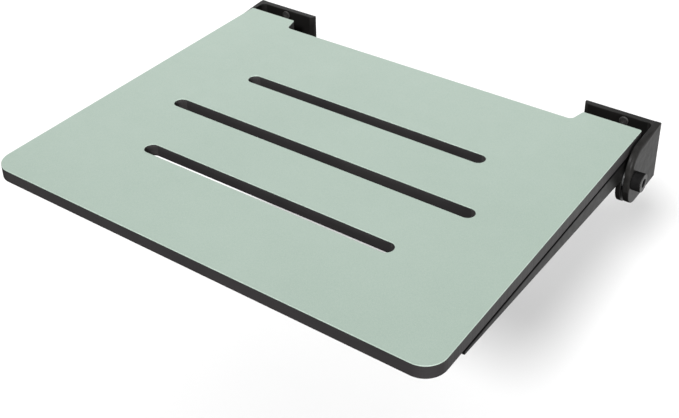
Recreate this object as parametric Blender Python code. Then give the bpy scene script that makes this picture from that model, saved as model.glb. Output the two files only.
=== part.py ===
"""Fold-up shower seat on two wall brackets.

Frame: X to the right, the front faces -Y, the wall is the plane y = 0, +Z up.
X = 0 is midway between the brackets and z = 0 is the height of the hinge axis.
All lengths are in metres.
"""
import math

import bmesh
import bpy
from mathutils import Matrix, Vector, geometry

# ---------------------------------------------------------------- driving sizes
GAP = 0.0003                  # clearance between pieces that touch

# seat board
SEAT_HALF_WIDTH = 0.230       # middle of the board to a side edge
SEAT_FRONT_Y = -0.400         # front edge
SEAT_TOP_Z = 0.0355           # upper surface
SEAT_THICKNESS = 0.0128       # whole laminate board
SEAT_CORNER_R = 0.0195        # front corners
FACE_THICKNESS = 0.0004       # decorative sheet on the core
FACE_CHAMFER = 0.0003         # broken edge round the top sheet
EAR_REAR_Y = -0.0282          # rear edge of the two ears
EAR_CORNER_R = 0.0018         # outer rear corner of an ear
NOTCH_Y = -0.0458             # rear edge between the ears
NOTCH_MOUTH_X = 0.1717        # inner rear corner of an ear
NOTCH_ROOT_X = 0.1676         # where the ear meets the notch edge
NOTCH_FILLET_R = 0.0060       # inside corner of the notch
NOTCH_TIP_R = 0.0020          # inner rear corner of an ear

# drain slots: (centre y, overall length)
SLOT_WIDTH = 0.0143
SLOTS = (
    (-0.302, 0.268),
    (-0.227, 0.331),
    (-0.152, 0.268),
)

# wall brackets
PLATE_INNER_X = 0.1626        # free end of a wall plate
CHEEK_INNER_X = 0.2323        # face of the cheek toward the seat
CHEEK_OUTER_X = 0.2383        # face of the cheek away from the seat
PLATE_THICKNESS = 0.0064
PLATE_TOP_Z = 0.0316
PLATE_BOTTOM_Z = -0.0288
PLATE_END_R = 0.0045          # front edge at the free end of a wall plate
CHEEK_FRONT_Y = -0.0670       # front of the cheek
CHEEK_TOP_R = 0.0220          # upper nose corner
CHEEK_BOTTOM_R = 0.0195       # lower nose corner
CHEEK_ROUND = 0.0056          # deepest rounding of the outer edge
CHEEK_EDGE_R = 0.0006         # rounding where the edge is nearly sharp
INNER_FILLET_R = 0.0050       # wall plate to cheek

# hinge
AXIS_Y = -0.0575              # the seat folds about the X line through
AXIS_Z = 0.0                  # (AXIS_Y, AXIS_Z)
BOLT_R = 0.0040
BOLT_HEAD_R = 0.0090
BOLT_HEAD_LENGTH = 0.0093
BOLT_HEAD_CHAMFER = 0.0006
BOLT_SOCKET_AF = 0.0065
BOLT_SOCKET_DEPTH = 0.0050
BOLT_END_X = 0.2110
WASHER_R = 0.0089
SPACER_X = (0.2302, 0.2320)   # washer between the arm and the cheek
NUT_WASHER_X = (0.2230, 0.2246)
NUT_X = (0.2145, 0.2227)
NUT_AF = 0.0130

# arms
ARM_X = (0.2249, 0.2299)      # upright web under the side edge of the board
ARM_TOP_Z = 0.0224
ARM_FRONT_Y = -0.3560
ARM_FRONT_DEPTH = 0.0049      # depth of the web at its front end
ARM_BOTTOM_SLOPE = -0.0529    # the lower edge falls toward the hinge
ARM_EDGE_R = 0.0005
ARM_BEND_R = 0.0025           # outer edge where the web turns into the flange
TAIL_FRONT_Y = -0.0660        # front of the tail that hangs below the hinge
TAIL_BOTTOM_Z = -0.0312
TAIL_NOSE_R = 0.0210
TAIL_ROOT_R = 0.0030
TAIL_REAR_Y = -0.0067         # rests on the wall plate in the lowered pose
TAIL_REAR_CHAMFER = 0.0022
TAIL_SHOULDER = (-0.0115, 0.0090)   # where the rear edge starts to lean in
TAIL_TOP_Y = -0.0230
FLANGE_INNER_X = 0.1980       # screwed flange under the board
FLANGE_THICKNESS = 0.0040
FLANGE_Y = (-0.3520, -0.0330)

# screws
WALL_SCREW_R = 0.0027
WALL_SCREW_HEAD_R = 0.0045
WALL_SCREW_HEAD_H = 0.0017
WALL_SCREW_AF = 0.0040
TOP_SCREW_X = {"right": 0.2045, "left": 0.1990}
TOP_SCREW_Z = 0.0260
LOWER_SCREWS = (              # name, distance from the middle, height
    ("lower_inner", 0.1800, -0.0175),
    ("lower_outer", 0.2140, -0.0175),
)
SEAT_SCREW_R = 0.0025
SEAT_SCREW_HEAD_R = 0.0047
SEAT_SCREW_HEAD_H = 0.0028
SEAT_SCREW_AF = 0.0030
SEAT_SCREW_X = 0.2110
SEAT_SCREW_LENGTH = 0.0120    # from under the head to the tip
SEAT_SCREWS = (
    ("front", -0.3250),
    ("middle", -0.2050),
    ("rear", -0.0850),
)

SIDES = (("right", 1.0), ("left", -1.0))


# ---------------------------------------------------------------- helpers
def clear_scene():
    for item in list(bpy.data.objects):
        bpy.data.objects.remove(item, do_unlink=True)


def material(name, colour, roughness, metallic=0.0):
    """One Principled material; colour is linear RGB."""
    mat = bpy.data.materials.new(name)
    mat.use_nodes = True
    shader = mat.node_tree.nodes["Principled BSDF"]
    shader.inputs["Base Color"].default_value = (*colour, 1.0)
    shader.inputs["Roughness"].default_value = roughness
    shader.inputs["Metallic"].default_value = metallic
    mat.diffuse_color = (*colour, 1.0)
    return mat


def finish(name, bm, mat, origin=(0.0, 0.0, 0.0), smooth_angle=35.0):
    """Turn a bmesh built in world coordinates into a named object."""
    bmesh.ops.remove_doubles(bm, verts=bm.verts, dist=0.000002)
    bmesh.ops.recalc_face_normals(bm, faces=bm.faces)
    bmesh.ops.translate(bm, verts=bm.verts, vec=-Vector(origin))
    mesh = bpy.data.meshes.new(name)
    bm.to_mesh(mesh)
    bm.free()
    for polygon in mesh.polygons:
        polygon.use_smooth = True
    mesh.set_sharp_from_angle(angle=math.radians(smooth_angle))
    mesh.materials.append(mat)
    obj = bpy.data.objects.new(name, mesh)
    obj.location = origin
    bpy.context.scene.collection.objects.link(obj)
    return obj


def arc(centre, radius, start, end, steps):
    """Points on an arc, angles in degrees, both ends included."""
    points = []
    for i in range(steps + 1):
        a = math.radians(start + (end - start) * i / steps)
        points.append((centre[0] + radius * math.cos(a), centre[1] + radius * math.sin(a)))
    return points


def rounded(corners, steps=6):
    """Closed outline from (point, radius) corners, every corner rounded."""
    count = len(corners)
    outline = []
    for i in range(count):
        here = Vector(corners[i][0])
        radius = corners[i][1]
        back = (Vector(corners[i - 1][0]) - here).normalized()
        ahead = (Vector(corners[(i + 1) % count][0]) - here).normalized()
        if radius <= 0.0:
            outline.append(tuple(here))
            continue
        half = back.angle(ahead) / 2.0
        reach = radius / math.tan(half)
        middle = here + (back + ahead).normalized() * (radius / math.sin(half))
        first = here + back * reach - middle
        last = here + ahead * reach - middle
        sweep = first.angle(last)
        if first.x * last.y - first.y * last.x < 0.0:
            sweep = -sweep
        base = math.atan2(first.y, first.x)
        for k in range(steps + 1):
            a = base + sweep * k / steps
            outline.append((middle.x + radius * math.cos(a), middle.y + radius * math.sin(a)))
    return outline


def area(outline):
    total = 0.0
    for i in range(len(outline)):
        x0, y0 = outline[i - 1]
        x1, y1 = outline[i]
        total += x0 * y1 - x1 * y0
    return total / 2.0


def inset(outline, distance):
    """Move a counter-clockwise outline inward along its corner normals."""
    count = len(outline)
    moved = []
    for i in range(count):
        here = Vector(outline[i])
        before = here - Vector(outline[i - 1])
        after = Vector(outline[(i + 1) % count]) - here
        n0 = Vector((-before.y, before.x)).normalized()
        n1 = Vector((-after.y, after.x)).normalized()
        normal = (n0 + n1).normalized()
        scale = max(0.5, normal.dot(n0))
        moved.append(tuple(here + normal * (distance / scale)))
    return moved


def plate(bm, outer, holes, levels, place):
    """Closed plate with through holes.

    levels is a list of (height, inset); place maps (u, v, height) to a world point.
    """
    loops = []
    if area(outer) < 0.0:
        outer = outer[::-1]
    loops.append((outer, 1.0))
    for hole in holes:
        if area(hole) < 0.0:
            hole = hole[::-1]
        loops.append((hole, -1.0))
    rings = []
    for height, amount in levels:
        ring = []
        for outline, sign in loops:
            shape = outline
            if amount != 0.0:
                shape = inset(outline, amount * sign)
            ring.append([bm.verts.new(place(u, v, height)) for u, v in shape])
        rings.append(ring)
    for lower, upper in zip(rings[:-1], rings[1:]):
        for ring_a, ring_b in zip(lower, upper):
            count = len(ring_a)
            for i in range(count):
                j = (i + 1) % count
                bm.faces.new((ring_a[i], ring_a[j], ring_b[j], ring_b[i]))
    for ring in (rings[0], rings[-1]):
        flat = [vert for part in ring for vert in part]
        index = 0 if ring is rings[0] else -1
        amount = levels[index][1]
        shapes = []
        for outline, sign in loops:
            shape = outline if amount == 0.0 else inset(outline, amount * sign)
            shapes.append([Vector((u, v, 0.0)) for u, v in shape])
        for tri in geometry.tessellate_polygon(shapes):
            bm.faces.new([flat[k] for k in tri])
    bmesh.ops.recalc_face_normals(bm, faces=bm.faces)


def along_x(u, v, height):
    """Outline in (y, z), height along X."""
    return (height, u, v)


def along_y(u, v, height):
    """Outline in (x, z), height along Y."""
    return (u, height, v)


def along_z(u, v, height):
    """Outline in (x, y), height along Z."""
    return (u, v, height)


def prism(outline, low, high, place, edge=0.0):
    """Closed prism with optional broken edges at both ends."""
    bm = bmesh.new()
    levels = [(low, 0.0), (high, 0.0)]
    if edge > 0.0:
        levels = [(low, edge), (low + edge * 0.3, edge * 0.3), (low + edge, 0.0)]
        levels += [(high - edge, 0.0), (high - edge * 0.3, edge * 0.3), (high, edge)]
    plate(bm, outline, [], levels, place)
    return bm


def lathe(bm, profile, centre, axis, segments):
    """Turn (distance along the axis, radius) points; the ends close on the axis."""
    rings = []
    for along, radius in profile:
        ring = []
        for i in range(segments):
            a = 2.0 * math.pi * i / segments
            c, s = radius * math.cos(a), radius * math.sin(a)
            if axis == "X":
                point = (along, centre[1] + c, centre[2] + s)
            elif axis == "Y":
                point = (centre[0] + c, along, centre[2] + s)
            else:
                point = (centre[0] + c, centre[1] + s, along)
            ring.append(bm.verts.new(point))
        rings.append(ring)
    for ring_a, ring_b in zip(rings[:-1], rings[1:]):
        for i in range(segments):
            j = (i + 1) % segments
            bm.faces.new((ring_a[i], ring_a[j], ring_b[j], ring_b[i]))
    bm.faces.new(rings[0])
    bm.faces.new(rings[-1])
    bmesh.ops.recalc_face_normals(bm, faces=bm.faces)


def tube(bm, profile, centre, axis, segments):
    """Turn a closed (distance along the axis, radius) profile into a ring."""
    rings = []
    for i in range(segments):
        a = 2.0 * math.pi * i / segments
        ring = []
        for along, radius in profile:
            c, s = radius * math.cos(a), radius * math.sin(a)
            if axis == "X":
                point = (along, centre[1] + c, centre[2] + s)
            else:
                point = (centre[0] + c, along, centre[2] + s)
            ring.append(bm.verts.new(point))
        rings.append(ring)
    count = len(profile)
    for k in range(segments):
        ring_a, ring_b = rings[k], rings[(k + 1) % segments]
        for i in range(count):
            j = (i + 1) % count
            bm.faces.new((ring_a[i], ring_a[j], ring_b[j], ring_b[i]))
    bmesh.ops.recalc_face_normals(bm, faces=bm.faces)


def circle(centre, radius, segments):
    return arc(centre, radius, 0.0, 360.0 - 360.0 / segments, segments - 1)


def hexagon(centre, across_flats, turn=0.0):
    radius = across_flats / math.sqrt(3.0)
    return arc(centre, radius, turn, turn + 300.0, 5)


def mirror(bm, side):
    """Pieces are built on the right; the left copies are mirrored about x = 0."""
    if side < 0.0:
        bmesh.ops.transform(bm, matrix=Matrix.Diagonal((-1.0, 1.0, 1.0, 1.0)), verts=bm.verts)
        bmesh.ops.reverse_faces(bm, faces=bm.faces)


def boolean(bm, other, operation):
    """Exact Boolean of two closed bmeshes; both are consumed."""
    made = []
    for label, source in (("base", bm), ("tool", other)):
        mesh = bpy.data.meshes.new(label)
        source.to_mesh(mesh)
        source.free()
        obj = bpy.data.objects.new(label, mesh)
        bpy.context.scene.collection.objects.link(obj)
        made.append(obj)
    base, tool = made
    tool.hide_render = True
    tool.display_type = "WIRE"
    modifier = base.modifiers.new("cut", "BOOLEAN")
    modifier.operation = operation
    modifier.solver = "EXACT"
    modifier.object = tool
    graph = bpy.context.evaluated_depsgraph_get()
    graph.update()
    result = bmesh.new()
    result.from_mesh(base.evaluated_get(graph).to_mesh())
    base.evaluated_get(graph).to_mesh_clear()
    for obj in made:
        mesh = obj.data
        bpy.data.objects.remove(obj, do_unlink=True)
        bpy.data.meshes.remove(mesh)
    bmesh.ops.remove_doubles(result, verts=result.verts, dist=0.000002)
    bmesh.ops.dissolve_degenerate(result, edges=result.edges, dist=0.000002)
    bmesh.ops.recalc_face_normals(result, faces=result.faces)
    return result


# ---------------------------------------------------------------- seat board
def seat_outline():
    w = SEAT_HALF_WIDTH
    corners = [
        ((-w, SEAT_FRONT_Y), SEAT_CORNER_R),
        ((w, SEAT_FRONT_Y), SEAT_CORNER_R),
        ((w, EAR_REAR_Y), EAR_CORNER_R),
        ((NOTCH_MOUTH_X, EAR_REAR_Y), NOTCH_TIP_R),
        ((NOTCH_ROOT_X, NOTCH_Y), NOTCH_FILLET_R),
        ((-NOTCH_ROOT_X, NOTCH_Y), NOTCH_FILLET_R),
        ((-NOTCH_MOUTH_X, EAR_REAR_Y), NOTCH_TIP_R),
        ((-w, EAR_REAR_Y), EAR_CORNER_R),
    ]
    return rounded(corners, steps=9)


def slot_outline(centre_y, length):
    r = SLOT_WIDTH / 2.0
    reach = length / 2.0 - r
    right = arc((reach, centre_y), r, -90.0, 90.0, 14)
    left = arc((-reach, centre_y), r, 90.0, 270.0, 14)
    return right + left


def screw_places(side):
    return [(side * SEAT_SCREW_X, y) for _, y in SEAT_SCREWS]


def build_seat_board(pivot):
    outer = seat_outline()
    slots = [slot_outline(y, length) for y, length in SLOTS]
    bottom = SEAT_TOP_Z - SEAT_THICKNESS
    places = screw_places(1.0) + screw_places(-1.0)
    bores = [circle(place, SEAT_SCREW_R + GAP, 16) for place in places]

    bm = bmesh.new()
    low = SEAT_TOP_Z - FACE_THICKNESS
    levels = [(low, 0.0), (SEAT_TOP_Z - FACE_CHAMFER, 0.0), (SEAT_TOP_Z, FACE_CHAMFER)]
    plate(bm, outer, slots, levels, along_z)
    finish("seat_top_face", bm, material("sage_laminate", (0.46, 0.57, 0.49), 0.45), pivot)

    bm = bmesh.new()
    high = bottom + FACE_THICKNESS
    plate(bm, outer, slots + bores, [(bottom, 0.0), (high, 0.0)], along_z)
    finish("seat_bottom_face", bm, material("black_backing", (0.040, 0.038, 0.040), 0.5), pivot)

    core_low = high + GAP
    core_high = low - GAP
    bore_top = ARM_TOP_Z - FLANGE_THICKNESS + SEAT_SCREW_LENGTH + 0.0010
    bm = blind_bored_core(outer, slots, bores, core_low, bore_top, core_high)
    finish("seat_core", bm, material("black_core", (0.045, 0.042, 0.045), 0.55), pivot)


def blind_bored_core(outer, slots, bores, low, bore_top, high):
    """Board core: through slots plus screw holes that stop inside it."""
    bm = bmesh.new()
    shapes = [outer] + slots
    sides = []
    for outline in shapes:
        bottom_ring = [bm.verts.new((u, v, low)) for u, v in outline]
        top_ring = [bm.verts.new((u, v, high)) for u, v in outline]
        count = len(outline)
        for i in range(count):
            j = (i + 1) % count
            bm.faces.new((bottom_ring[i], bottom_ring[j], top_ring[j], top_ring[i]))
        sides.append((bottom_ring, top_ring))
    bore_rings = []
    for outline in bores:
        mouth = [bm.verts.new((u, v, low)) for u, v in outline]
        floor = [bm.verts.new((u, v, bore_top)) for u, v in outline]
        count = len(outline)
        for i in range(count):
            j = (i + 1) % count
            bm.faces.new((mouth[i], mouth[j], floor[j], floor[i]))
        bm.faces.new(floor)
        bore_rings.append(mouth)
    top_loops = [ring for _, ring in sides]
    low_loops = [ring for ring, _ in sides] + bore_rings
    for loops in (top_loops, low_loops):
        flat = [vert for ring in loops for vert in ring]
        polygons = [[Vector((vert.co.x, vert.co.y, 0.0)) for vert in ring] for ring in loops]
        for tri in geometry.tessellate_polygon(polygons):
            bm.faces.new([flat[k] for k in tri])
    bmesh.ops.recalc_face_normals(bm, faces=bm.faces)
    return bm


# ---------------------------------------------------------------- wall brackets
def cheek_outline():
    """(y, z, rounding of the outer edge) round the cheek, counter-clockwise."""
    top_centre = (CHEEK_FRONT_Y + CHEEK_TOP_R, PLATE_TOP_Z - CHEEK_TOP_R)
    low_centre = (CHEEK_FRONT_Y + CHEEK_BOTTOM_R, PLATE_BOTTOM_Z + CHEEK_BOTTOM_R)
    points = [(0.0, PLATE_TOP_Z)]
    straight = 10
    for i in range(1, straight):
        points.append((top_centre[0] * i / straight, PLATE_TOP_Z))
    points += arc(top_centre, CHEEK_TOP_R, 90.0, 180.0, 16)
    points += arc(low_centre, CHEEK_BOTTOM_R, 180.0, 270.0, 14)
    points.append((0.0, PLATE_BOTTOM_Z))
    shaped = []
    for y, z in points:
        shaped.append((y, z, cheek_rounding(y, z)))
    return shaped


def smoothstep(a, b, x):
    t = min(1.0, max(0.0, (x - a) / (b - a)))
    return t * t * (3.0 - 2.0 * t)


def cheek_rounding(y, z):
    """Deep at the upper nose, fading to a broken edge at the wall and below."""
    grow = smoothstep(0.0, -0.046, y)
    fade = smoothstep(-0.010, 0.016, z)
    return CHEEK_EDGE_R + (CHEEK_ROUND - CHEEK_EDGE_R) * grow * fade


def build_cheek():
    """Cheek plate whose outer edge is rounded by a changing radius."""
    outline = cheek_outline()
    count = len(outline)
    flat = [(y, z) for y, z, _ in outline]
    bm = bmesh.new()
    rings = [[bm.verts.new((CHEEK_INNER_X, y, z)) for y, z in flat]]
    steps = 6
    for k in range(steps + 1):
        a = math.radians(90.0 * k / steps)
        ring = []
        for i in range(count):
            y, z, r = outline[i]
            before = Vector(flat[i]) - Vector(flat[i - 1])
            after = Vector(flat[(i + 1) % count]) - Vector(flat[i])
            n0 = Vector((-before.y, before.x)).normalized()
            n1 = Vector((-after.y, after.x)).normalized()
            if i == 0:
                normal = n1
            elif i == count - 1:
                normal = n0
            else:
                normal = (n0 + n1).normalized()
            depth = r * (1.0 - math.cos(a))
            x = CHEEK_OUTER_X - r * (1.0 - math.sin(a))
            ring.append(bm.verts.new((x, y + normal.x * depth, z + normal.y * depth)))
        rings.append(ring)
    for ring_a, ring_b in zip(rings[:-1], rings[1:]):
        for i in range(count):
            j = (i + 1) % count
            bm.faces.new((ring_a[i], ring_a[j], ring_b[j], ring_b[i]))
    for ring in (rings[0], rings[-1]):
        polygon = [Vector((vert.co.y, vert.co.z, 0.0)) for vert in ring]
        for tri in geometry.tessellate_polygon([polygon]):
            bm.faces.new([ring[k] for k in tri])
    bmesh.ops.recalc_face_normals(bm, faces=bm.faces)
    return bm


def wall_screws(side_name):
    """(name, distance from the middle, height) of the screws of one bracket."""
    return (("top", TOP_SCREW_X[side_name], TOP_SCREW_Z),) + LOWER_SCREWS


def build_bracket(side_name, side, mat):
    low, high = PLATE_BOTTOM_Z, PLATE_TOP_Z
    bm = build_cheek()
    reach = CHEEK_INNER_X + 0.0010
    corners = [
        ((PLATE_INNER_X, 0.0), 0.0005),
        ((PLATE_INNER_X, -PLATE_THICKNESS), PLATE_END_R),
        ((reach, -PLATE_THICKNESS), 0.0),
        ((reach, 0.0), 0.0),
    ]
    wall_plate = prism(rounded(corners, steps=8), low, high, along_z)
    bm = boolean(bm, wall_plate, "UNION")

    # concave fillet between the wall plate and the cheek
    r = INNER_FILLET_R
    corner = (CHEEK_INNER_X, -PLATE_THICKNESS)
    bury = 0.0008
    curve = arc((corner[0] - r, corner[1] - r), r, 90.0, 0.0, 10)
    shape = [(corner[0] - r, corner[1] + bury)] + curve + [(corner[0] + bury, corner[1] - r)]
    shape.append((corner[0] + bury, corner[1] + bury))
    rib = prism(shape, low, high, along_z)
    bm = boolean(bm, rib, "UNION")

    for _, x, z in wall_screws(side_name):
        hole = prism(circle((x, z), WALL_SCREW_R + GAP, 20), -0.02, 0.01, along_y)
        bm = boolean(bm, hole, "DIFFERENCE")
    bore = prism(circle((AXIS_Y, AXIS_Z), BOLT_R + GAP, 32), 0.21, 0.26, along_x)
    bm = boolean(bm, bore, "DIFFERENCE")
    mirror(bm, side)
    finish("bracket_" + side_name, bm, mat)


# ---------------------------------------------------------------- arms
def arm_profile():
    """Web outline in (y, z): taper, tail below the hinge, shoulder at the rear."""
    front_low = ARM_TOP_Z - ARM_FRONT_DEPTH
    root_z = front_low + ARM_BOTTOM_SLOPE * (TAIL_FRONT_Y - ARM_FRONT_Y)
    corners = [
        ((ARM_FRONT_Y, front_low), 0.0012),
        ((TAIL_FRONT_Y, root_z), TAIL_ROOT_R),
        ((TAIL_FRONT_Y, TAIL_BOTTOM_Z), TAIL_NOSE_R),
        ((TAIL_REAR_Y, TAIL_BOTTOM_Z), 0.0030),
        ((TAIL_REAR_Y, -0.0080), 0.0030),
        (TAIL_SHOULDER, 0.0040),
        ((TAIL_TOP_Y, ARM_TOP_Z), 0.0030),
        ((ARM_FRONT_Y, ARM_TOP_Z), 0.0),
    ]
    return rounded(corners, steps=7)


def build_arm(side_name, side, mat, pivot):
    web = prism(arm_profile(), ARM_X[0], ARM_X[1], along_x, edge=ARM_EDGE_R)
    low = ARM_TOP_Z - FLANGE_THICKNESS
    corners = [
        ((FLANGE_INNER_X, FLANGE_Y[0]), 0.0060),
        ((ARM_X[0] + 0.0015, FLANGE_Y[0]), 0.0),
        ((ARM_X[0] + 0.0015, FLANGE_Y[1]), 0.0),
        ((FLANGE_INNER_X, FLANGE_Y[1]), 0.0060),
    ]
    flange = prism(rounded(corners, steps=6), low, ARM_TOP_Z, along_z)
    bm = boolean(web, flange, "UNION")
    for _, y in SEAT_SCREWS:
        hole = prism(circle((SEAT_SCREW_X, y), SEAT_SCREW_R + GAP, 16), 0.01, 0.03, along_z)
        bm = boolean(bm, hole, "DIFFERENCE")
    bore = prism(circle((AXIS_Y, AXIS_Z), BOLT_R + GAP, 32), 0.21, 0.26, along_x)
    bm = boolean(bm, bore, "DIFFERENCE")

    # rounded bend along the upper outer edge of the web
    b = ARM_BEND_R
    x1 = ARM_X[1]
    out = 0.001
    shape = arc((x1 - b, ARM_TOP_Z - b), b, 0.0, 90.0, 8)
    shape += [(x1 - b, ARM_TOP_Z + out), (x1 + out, ARM_TOP_Z + out), (x1 + out, ARM_TOP_Z - b)]
    bend = prism(shape, ARM_FRONT_Y - 0.002, 0.0, along_y)
    bm = boolean(bm, bend, "DIFFERENCE")

    # corner of the tail that would foul the fillet of the bracket
    c = TAIL_REAR_CHAMFER
    shape = [(x1 - c, TAIL_REAR_Y + 0.001), (x1 + 0.001, TAIL_REAR_Y + 0.001)]
    shape += [(x1 + 0.001, TAIL_REAR_Y - c - 0.001), (x1 - c, TAIL_REAR_Y)]
    wedge = prism(shape, -0.04, 0.01, along_z)
    bm = boolean(bm, wedge, "DIFFERENCE")
    mirror(bm, side)
    finish("arm_" + side_name, bm, mat, pivot)


# ---------------------------------------------------------------- hinge hardware
def build_bolt(side_name, side, mat):
    seat_x = CHEEK_OUTER_X + GAP
    end_x = seat_x + BOLT_HEAD_LENGTH
    c = BOLT_HEAD_CHAMFER
    bm = bmesh.new()
    profile = [
        (BOLT_END_X, BOLT_R - 0.0006),
        (BOLT_END_X + 0.0006, BOLT_R),
        (seat_x, BOLT_R),
        (seat_x, BOLT_HEAD_R - 0.0003),
        (seat_x + 0.0003, BOLT_HEAD_R),
        (end_x - c, BOLT_HEAD_R),
        (end_x - c * 0.3, BOLT_HEAD_R - c * 0.3),
        (end_x, BOLT_HEAD_R - c),
    ]
    lathe(bm, profile, (0.0, AXIS_Y, AXIS_Z), "X", 48)
    socket = hexagon((AXIS_Y, AXIS_Z), BOLT_SOCKET_AF, 30.0)
    tool = prism(socket, end_x - BOLT_SOCKET_DEPTH, end_x + 0.002, along_x)
    bm = boolean(bm, tool, "DIFFERENCE")
    mirror(bm, side)
    finish("hinge_bolt_" + side_name, bm, mat)


def build_washer(name, side, span, mat):
    bm = bmesh.new()
    r0, r1, e = BOLT_R + GAP, WASHER_R, 0.0003
    a, b = span
    profile = [(a, r0), (a, r1 - e), (a + e, r1), (b - e, r1), (b, r1 - e), (b, r0)]
    tube(bm, profile, (0.0, AXIS_Y, AXIS_Z), "X", 40)
    mirror(bm, side)
    finish(name, bm, mat)


def build_nut(side_name, side, mat):
    bm = bmesh.new()
    plate(
        bm,
        hexagon((AXIS_Y, AXIS_Z), NUT_AF, 30.0),
        [circle((AXIS_Y, AXIS_Z), BOLT_R + GAP, 32)],
        [(NUT_X[0], 0.0), (NUT_X[1], 0.0)],
        along_x,
    )
    ball = bmesh.new()
    reach = NUT_AF / math.sqrt(3.0)
    cut = 0.0010
    profile = [
        (NUT_X[0] - 0.0001, reach - cut),
        (NUT_X[0] + cut, reach + 0.0004),
        (NUT_X[1] - cut, reach + 0.0004),
        (NUT_X[1] + 0.0001, reach - cut),
    ]
    lathe(ball, profile, (0.0, AXIS_Y, AXIS_Z), "X", 30)
    bm = boolean(bm, ball, "INTERSECT")
    mirror(bm, side)
    finish("hinge_nut_" + side_name, bm, mat)


# ---------------------------------------------------------------- screws
def dome(base, radius, height):
    """Profile of a button head that rises toward the negative direction."""
    points = []
    steps = 4
    full = 1.30
    for i in range(1, steps + 1):
        a = full * i / steps
        rise = height * math.sin(a) / math.sin(full)
        points.append((base - rise, radius * (0.45 + 0.55 * math.cos(a))))
    return points


def build_wall_screw(side_name, side, label, x, z, mat):
    """Low-headed screw, drawn as far as the wall face."""
    face = -PLATE_THICKNESS - GAP
    front = face - WALL_SCREW_HEAD_H
    r = WALL_SCREW_HEAD_R
    bm = bmesh.new()
    profile = [(-GAP, WALL_SCREW_R - 0.0004), (-GAP - 0.0004, WALL_SCREW_R)]
    profile += [(face, WALL_SCREW_R), (face, r - 0.0002), (face - 0.0003, r)]
    profile += dome(face - 0.0003, r, WALL_SCREW_HEAD_H - 0.0003)
    lathe(bm, profile, (x, 0.0, z), "Y", 24)
    socket = prism(hexagon((x, z), WALL_SCREW_AF, 0.0), front - 0.001, front + 0.0013, along_y)
    bm = boolean(bm, socket, "DIFFERENCE")
    mirror(bm, side)
    finish("wall_screw_" + side_name + "_" + label, bm, mat)


def build_seat_screw(side_name, side, label, y, mat, pivot):
    """Screw driven up through the flange into the board."""
    face = ARM_TOP_Z - FLANGE_THICKNESS - GAP
    low = face - SEAT_SCREW_HEAD_H
    tip = face + SEAT_SCREW_LENGTH
    r = SEAT_SCREW_HEAD_R
    bm = bmesh.new()
    profile = [(tip, SEAT_SCREW_R * 0.45), (tip - 0.0016, SEAT_SCREW_R), (face, SEAT_SCREW_R)]
    profile += [(face, r - 0.0002), (face - 0.0003, r)]
    profile += dome(face - 0.0003, r, SEAT_SCREW_HEAD_H - 0.0003)
    lathe(bm, profile, (SEAT_SCREW_X, y, 0.0), "Z", 20)
    recess = hexagon((SEAT_SCREW_X, y), SEAT_SCREW_AF, 0.0)
    tool = prism(recess, low - 0.001, low + 0.0015, along_z)
    bm = boolean(bm, tool, "DIFFERENCE")
    mirror(bm, side)
    finish("seat_screw_" + side_name + "_" + label, bm, mat, pivot)


# ---------------------------------------------------------------- assembly
def main():
    clear_scene()
    pivot = (0.0, AXIS_Y, AXIS_Z)
    build_seat_board(pivot)
    for side_name, side in SIDES:
        tag = "_" + side_name
        bracket_mat = material("bracket_coating" + tag, (0.055, 0.053, 0.052), 0.42)
        build_bracket(side_name, side, bracket_mat)
        arm_mat = material("arm_coating" + tag, (0.060, 0.058, 0.056), 0.42)
        build_arm(side_name, side, arm_mat, pivot)
        bolt_mat = material("bolt_finish" + tag, (0.060, 0.058, 0.060), 0.35, 0.6)
        build_bolt(side_name, side, bolt_mat)
        spacer_mat = material("spacer_plastic" + tag, (0.050, 0.050, 0.052), 0.4)
        build_washer("spacer_washer" + tag, side, SPACER_X, spacer_mat)
        steel = material("nut_steel" + tag, (0.42, 0.42, 0.43), 0.35, 1.0)
        build_washer("nut_washer" + tag, side, NUT_WASHER_X, steel)
        build_nut(side_name, side, steel)
        wall_mat = material("wall_screw_finish" + tag, (0.10, 0.10, 0.10), 0.35, 0.6)
        for label, x, z in wall_screws(side_name):
            build_wall_screw(side_name, side, label, x, z, wall_mat)
        seat_mat = material("seat_screw_steel" + tag, (0.45, 0.45, 0.46), 0.32, 1.0)
        for label, y in SEAT_SCREWS:
            build_seat_screw(side_name, side, label, y, seat_mat, pivot)


main()
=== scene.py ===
"""Looks of the fold-up shower seat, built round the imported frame.

Every visible piece stands for one CAD node and takes its place and overall size
from that node's box.  Lengths are in metres, +Z up, the wall is the plane y = 0.
"""

import math

import bmesh
import bpy
from mathutils import Matrix, Vector, geometry


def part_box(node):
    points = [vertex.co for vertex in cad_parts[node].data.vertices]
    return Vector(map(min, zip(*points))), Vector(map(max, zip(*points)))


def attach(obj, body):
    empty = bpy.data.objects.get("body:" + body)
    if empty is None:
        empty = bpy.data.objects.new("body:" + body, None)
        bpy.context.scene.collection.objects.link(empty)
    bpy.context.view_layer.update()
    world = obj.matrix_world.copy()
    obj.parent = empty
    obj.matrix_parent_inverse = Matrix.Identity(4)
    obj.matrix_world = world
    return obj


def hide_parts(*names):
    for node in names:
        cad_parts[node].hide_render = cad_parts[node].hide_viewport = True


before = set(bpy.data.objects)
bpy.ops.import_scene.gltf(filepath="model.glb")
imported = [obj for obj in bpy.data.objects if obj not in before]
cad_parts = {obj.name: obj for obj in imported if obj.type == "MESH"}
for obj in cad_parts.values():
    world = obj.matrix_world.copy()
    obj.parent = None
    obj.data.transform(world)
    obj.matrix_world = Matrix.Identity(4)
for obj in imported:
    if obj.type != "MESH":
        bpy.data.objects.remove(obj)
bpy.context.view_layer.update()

SIDES = (("right", 1.0), ("left", -1.0))

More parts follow.
